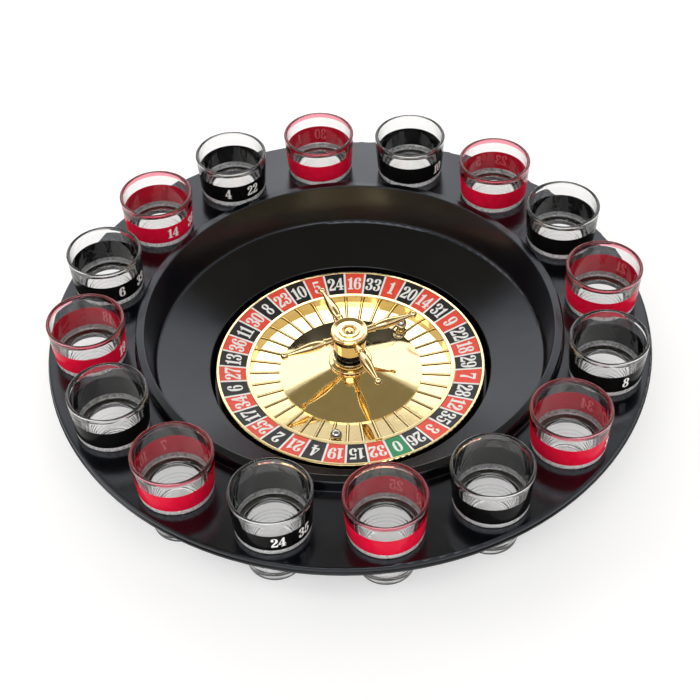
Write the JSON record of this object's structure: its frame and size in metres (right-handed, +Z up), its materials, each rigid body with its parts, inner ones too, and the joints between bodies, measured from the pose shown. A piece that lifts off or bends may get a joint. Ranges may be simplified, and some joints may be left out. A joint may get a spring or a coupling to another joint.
{
  "type": "roulette wheel",
  "caption": "Round black tray with a spinning gold roulette wheel under a turret with handles, steel balls, and numbered shot glasses in holes round the edge.",
  "frame": {"origin": "on the table under the wheel's axis, at the bottom of the feet", "axes": "+Z up along the wheel's axis; +Y from the centre towards glass_01; +X towards glass_05; the glasses are numbered clockwise seen from above"},
  "size_m": [0.301, 0.301, 0.0662],
  "materials": {
    "black_plastic": "black moulded plastic, semi-gloss with a very fine grain",
    "black_rubber": "matt rubber",
    "white_nylon": "moulded nylon",
    "steel": "turned steel",
    "gold_plating": "moulded plastic with mirror-bright pale gold plating",
    "gold_metal": "polished, gold plated",
    "printed_card": "printed film in red, black and green with white numbers, satin gloss",
    "collar_black": "black moulded sleeve",
    "ball_chrome": "polished steel ball",
    "clear_glass": "clear pressed glass with a fired colour band, red and black in turn"
  },
  "bodies": {
    "tray": {"tray": "black_plastic", "foot_1": "black_rubber", "foot_2": "black_rubber", "foot_3": "black_rubber", "foot_4": "black_rubber", "hub_bush": "white_nylon", "thrust_washer": "white_nylon"},
    "wheel": {"wheel_disc": "gold_plating", "number_ring": "printed_card", "turret_base": "gold_metal", "turret_screws": "steel", "column_collar": "collar_black", "turret_column": "gold_metal", "turret_cap": "gold_metal", "cap_screw": "gold_metal", "handle_1": "gold_metal", "handle_2": "gold_metal", "handle_3": "gold_metal", "handle_4": "gold_metal", "spindle": "steel", "spindle_washer": "steel", "retaining_ring": "steel"},
    "ball_1": {"ball_1": "ball_chrome"},
    "ball_2": {"ball_2": "ball_chrome"},
    "glass_01": {"glass_01": "clear_glass"},
    "glass_02": {"glass_02": "clear_glass"},
    "glass_03": {"glass_03": "clear_glass"},
    "glass_04": {"glass_04": "clear_glass"},
    "glass_05": {"glass_05": "clear_glass"},
    "glass_06": {"glass_06": "clear_glass"},
    "glass_07": {"glass_07": "clear_glass"},
    "glass_08": {"glass_08": "clear_glass"},
    "glass_09": {"glass_09": "clear_glass"},
    "glass_10": {"glass_10": "clear_glass"},
    "glass_11": {"glass_11": "clear_glass"},
    "glass_12": {"glass_12": "clear_glass"},
    "glass_13": {"glass_13": "clear_glass"},
    "glass_14": {"glass_14": "clear_glass"},
    "glass_15": {"glass_15": "clear_glass"},
    "glass_16": {"glass_16": "clear_glass"}
  },
  "joints": [
    {"name": "wheel_spin", "type": "hinge", "parent": "tray", "child": "wheel", "pos_m": [0, 0, 0.0165], "axis": [0, 0, 1], "continuous": true},
    {"name": "ball_1_lift", "type": "slide", "parent": "wheel", "child": "ball_1", "axis": [0, 0, 1], "range_m": [0, 0.06]},
    {"name": "ball_2_lift", "type": "slide", "parent": "wheel", "child": "ball_2", "axis": [0, 0, 1], "range_m": [0, 0.06]},
    {"name": "glass_01_lift", "type": "slide", "parent": "tray", "child": "glass_01", "axis": [0, 0, 1], "range_m": [0, 0.06]},
    {"name": "glass_02_lift", "type": "slide", "parent": "tray", "child": "glass_02", "axis": [0, 0, 1], "range_m": [0, 0.06]},
    {"name": "glass_03_lift", "type": "slide", "parent": "tray", "child": "glass_03", "axis": [0, 0, 1], "range_m": [0, 0.06]},
    {"name": "glass_04_lift", "type": "slide", "parent": "tray", "child": "glass_04", "axis": [0, 0, 1], "range_m": [0, 0.06]},
    {"name": "glass_05_lift", "type": "slide", "parent": "tray", "child": "glass_05", "axis": [0, 0, 1], "range_m": [0, 0.06]},
    {"name": "glass_06_lift", "type": "slide", "parent": "tray", "child": "glass_06", "axis": [0, 0, 1], "range_m": [0, 0.06]},
    {"name": "glass_07_lift", "type": "slide", "parent": "tray", "child": "glass_07", "axis": [0, 0, 1], "range_m": [0, 0.06]},
    {"name": "glass_08_lift", "type": "slide", "parent": "tray", "child": "glass_08", "axis": [0, 0, 1], "range_m": [0, 0.06]},
    {"name": "glass_09_lift", "type": "slide", "parent": "tray", "child": "glass_09", "axis": [0, 0, 1], "range_m": [0, 0.06]},
    {"name": "glass_10_lift", "type": "slide", "parent": "tray", "child": "glass_10", "axis": [0, 0, 1], "range_m": [0, 0.06]},
    {"name": "glass_11_lift", "type": "slide", "parent": "tray", "child": "glass_11", "axis": [0, 0, 1], "range_m": [0, 0.06]},
    {"name": "glass_12_lift", "type": "slide", "parent": "tray", "child": "glass_12", "axis": [0, 0, 1], "range_m": [0, 0.06]},
    {"name": "glass_13_lift", "type": "slide", "parent": "tray", "child": "glass_13", "axis": [0, 0, 1], "range_m": [0, 0.06]},
    {"name": "glass_14_lift", "type": "slide", "parent": "tray", "child": "glass_14", "axis": [0, 0, 1], "range_m": [0, 0.06]},
    {"name": "glass_15_lift", "type": "slide", "parent": "tray", "child": "glass_15", "axis": [0, 0, 1], "range_m": [0, 0.06]},
    {"name": "glass_16_lift", "type": "slide", "parent": "tray", "child": "glass_16", "axis": [0, 0, 1], "range_m": [0, 0.06]}
  ]
}
